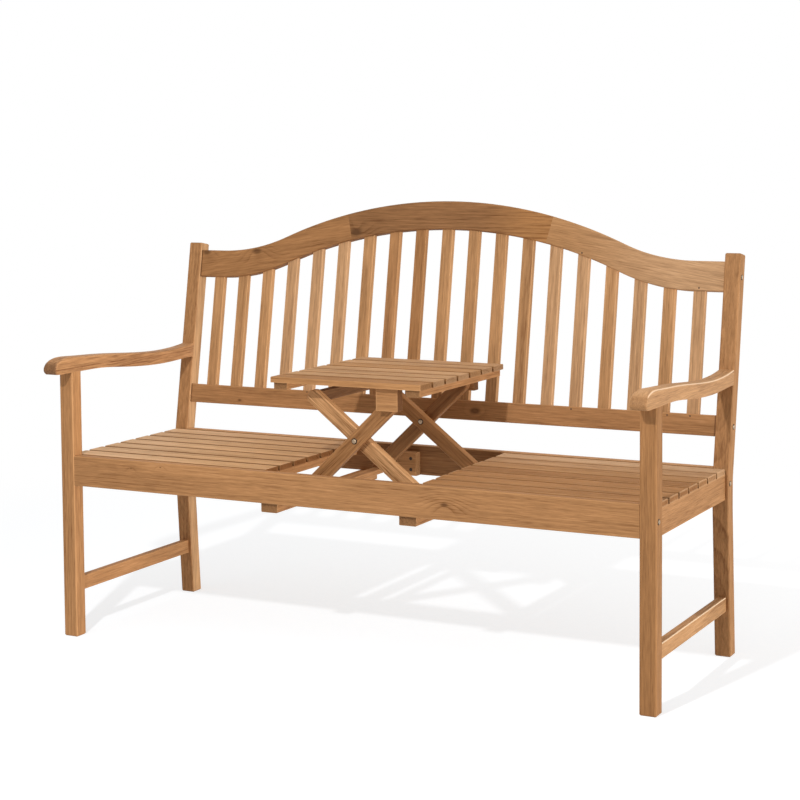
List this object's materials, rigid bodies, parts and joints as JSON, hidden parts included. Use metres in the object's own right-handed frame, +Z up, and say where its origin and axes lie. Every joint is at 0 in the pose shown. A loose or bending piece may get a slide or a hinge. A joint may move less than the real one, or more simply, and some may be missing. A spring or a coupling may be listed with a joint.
{
  "type": "garden bench",
  "caption": "Slatted wooden garden bench with arms, an arched crest rail and a slatted centre table that folds up out of the seat on crossed legs.",
  "frame": {"origin": "on the floor under the centre of the bench's overall box", "axes": "+X along the bench to the sitter's left (the viewer's right from the front), +Y from front to back, +Z up"},
  "size_m": [1.504, 0.6764, 1.034],
  "materials": {
    "frame_wood": "oiled hardwood, satin",
    "slat_wood": "oiled hardwood, satin",
    "folding_legs_wood": "oiled hardwood, satin",
    "table_wood": "oiled hardwood, satin",
    "steel": "zinc plated, satin"
  },
  "bodies": {
    "bench": {"arm_left": "frame_wood", "arm_right": "frame_wood", "back_slats_0": "slat_wood", "back_slats_1": "slat_wood", "back_slats_2": "slat_wood", "back_slats_3": "slat_wood", "back_slats_4": "slat_wood", "back_slats_5": "slat_wood", "back_slats_6": "slat_wood", "back_slats_7": "slat_wood", "back_slats_8": "slat_wood", "back_slats_9": "slat_wood", "bearers": "frame_wood", "block_screws": "steel", "crest_rail_centre": "frame_wood", "crest_rail_left": "frame_wood", "crest_rail_right": "frame_wood", "frame_bolts": "steel", "front_leg_left": "frame_wood", "front_leg_right": "frame_wood", "front_seat_rail": "frame_wood", "hinge_bolts": "steel", "hinge_brackets": "frame_wood", "lower_back_rail": "frame_wood", "rear_post_left": "frame_wood", "rear_post_right": "frame_wood", "rear_seat_rail": "frame_wood", "rest_blocks": "frame_wood", "seat_battens": "frame_wood", "seat_slats_1": "slat_wood", "seat_slats_2": "slat_wood", "seat_slats_3": "slat_wood", "seat_slats_4": "slat_wood", "seat_slats_5": "slat_wood", "seat_slats_6": "slat_wood", "seat_slats_7": "slat_wood", "side_seat_rail_left": "frame_wood", "side_seat_rail_right": "frame_wood", "side_stretcher_left": "frame_wood", "side_stretcher_right": "frame_wood"},
    "inner_frame": {"inner_leg_front": "folding_legs_wood", "inner_leg_rear": "folding_legs_wood", "inner_crossbar": "folding_legs_wood"},
    "outer_frame": {"outer_leg_front": "folding_legs_wood", "outer_leg_rear": "folding_legs_wood", "outer_crossbar": "folding_legs_wood", "crossing_bolts": "steel"},
    "table": {"table_battens": "table_wood", "table_pivot_blocks": "table_wood", "table_pivot_pins": "steel", "table_slat_1": "table_wood", "table_slat_2": "table_wood", "table_slat_3": "table_wood", "table_slat_4": "table_wood", "table_slat_5": "table_wood", "table_slat_6": "table_wood", "table_slat_7": "table_wood", "table_stop_block": "table_wood"}
  },
  "joints": [
    {"name": "inner_fold", "type": "hinge", "parent": "bench", "child": "inner_frame", "pos_m": [0.16545, 0, 0.387], "axis": [0, -1, 0], "range_deg": [0, 38]},
    {"name": "outer_fold", "type": "hinge", "parent": "inner_frame", "child": "outer_frame", "pos_m": [0.008, 0, 0.51001], "axis": [0, -1, 0], "range_deg": [-81.51, 0]},
    {"name": "table_level", "type": "hinge", "parent": "outer_frame", "child": "table", "pos_m": [0.10375, 0, 0.60087], "axis": [0, -1, 0], "range_deg": [0, 43.51]}
  ],
  "couplings": [
    {"joint": "outer_fold", "follows": "inner_fold", "ratio": -2.1447},
    {"joint": "table_level", "follows": "inner_fold", "ratio": 1.1447}
  ]
}
